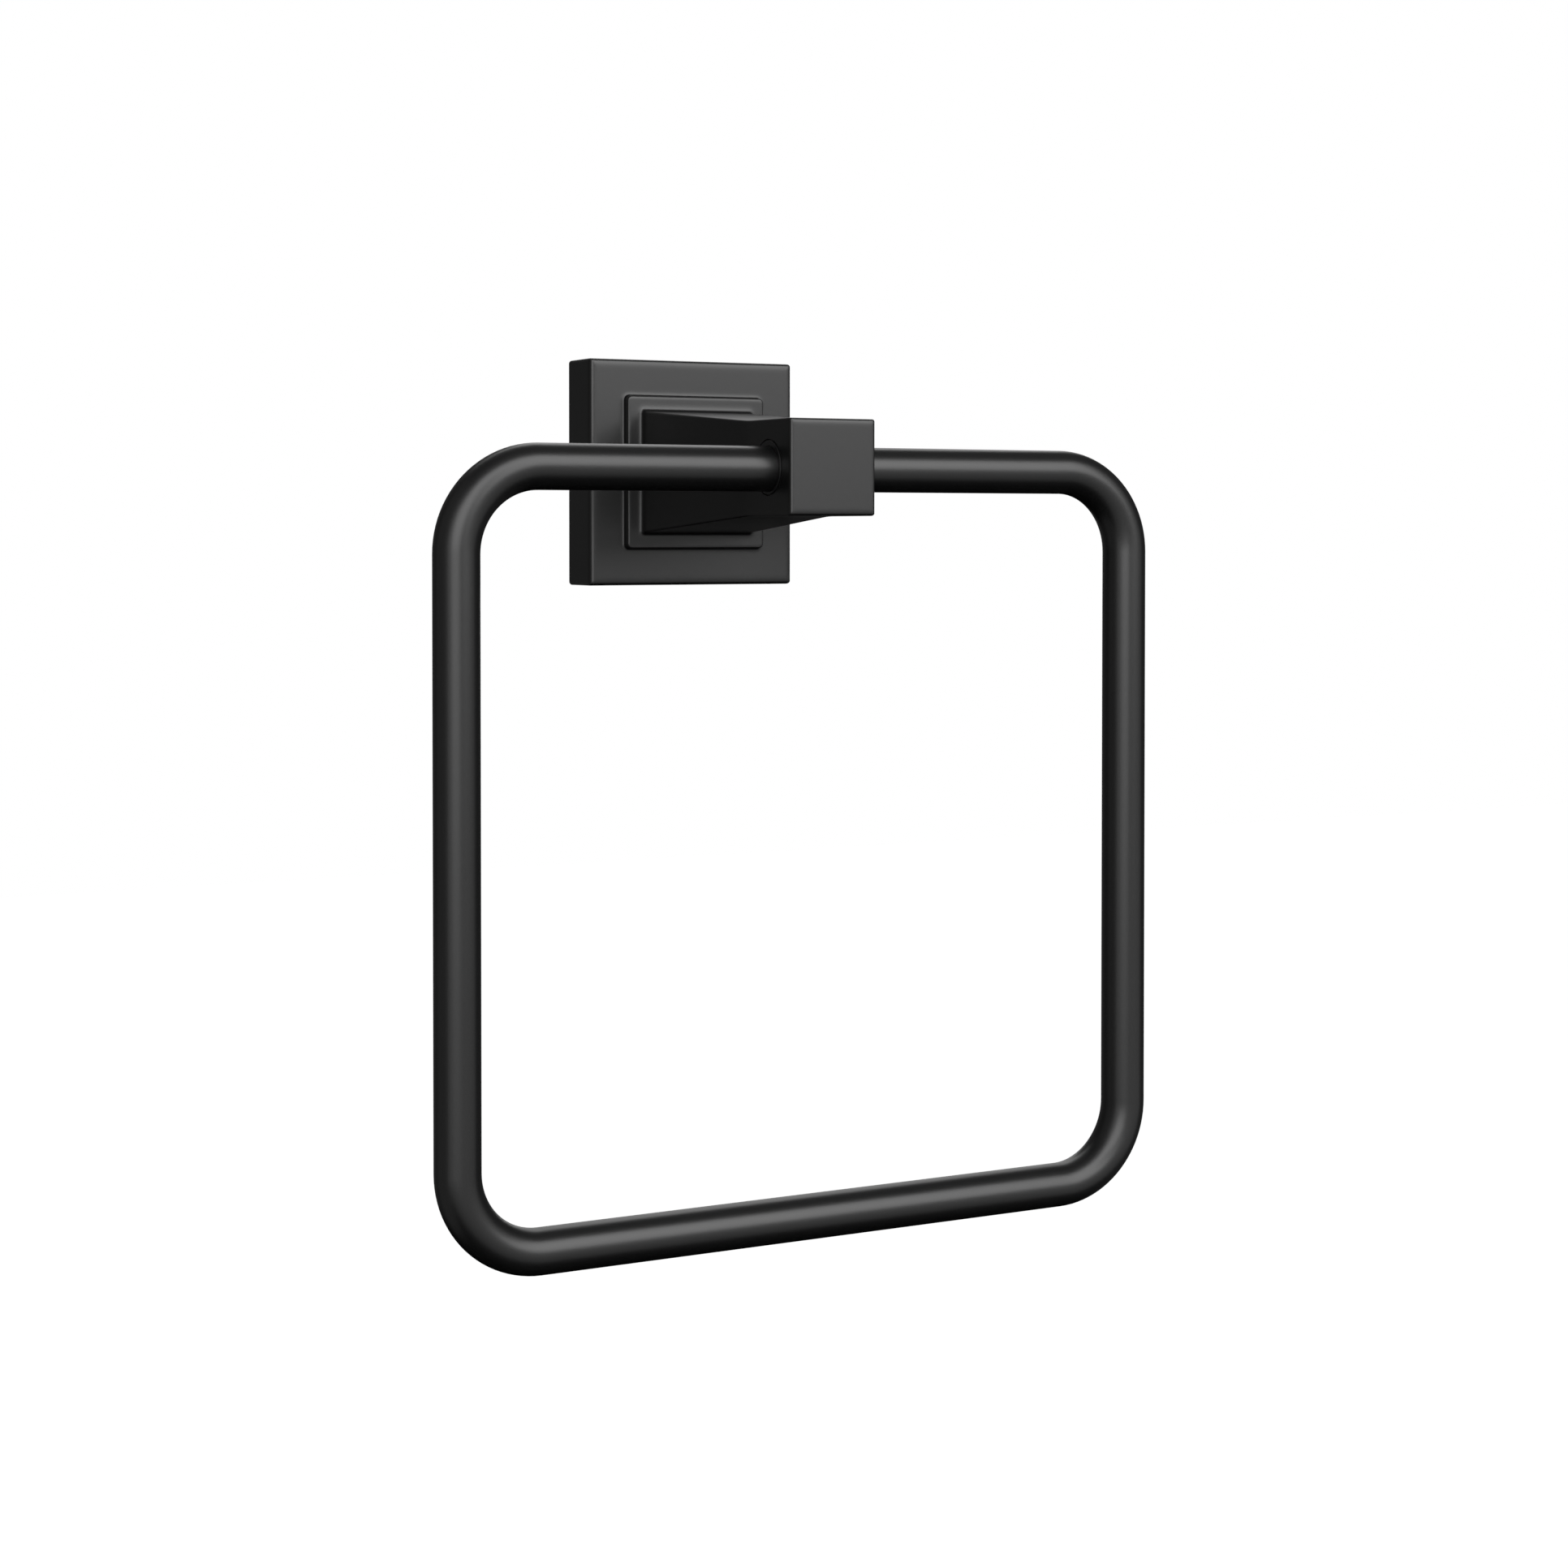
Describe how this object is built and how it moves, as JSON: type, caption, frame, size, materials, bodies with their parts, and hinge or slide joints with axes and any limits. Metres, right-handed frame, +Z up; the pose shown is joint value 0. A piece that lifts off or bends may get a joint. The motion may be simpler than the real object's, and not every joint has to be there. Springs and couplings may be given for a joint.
{
  "type": "towel ring",
  "caption": "Square wall plate with a tapering post and a cube-shaped head, and a bent square ring of round bar that swings from the head to hold a hand towel.",
  "frame": {"origin": "middle of the wall plate, on the wall", "axes": "+Y into the wall, +Z up, X along the wall; the ring hangs in front of the wall on the -Y side"},
  "size_m": [0.1686, 0.0781, 0.1881],
  "materials": {
    "black_coat": "satin black powder coat",
    "bush_plastic": "matte black nylon",
    "bracket_metal": "bare die-cast zinc",
    "screw_steel": "black oxide"
  },
  "bodies": {
    "bracket": {"post": "black_coat", "left_bush": "bush_plastic", "right_bush": "bush_plastic", "wall_bracket": "bracket_metal", "set_screw": "screw_steel"},
    "ring": {"ring": "black_coat"}
  },
  "joints": [
    {"name": "ring_swing", "type": "hinge", "parent": "bracket", "child": "ring", "pos_m": [0, -0.0683, -0.0003], "axis": [-1, 0, 0], "range_deg": [-23.5, 203.5]}
  ]
}
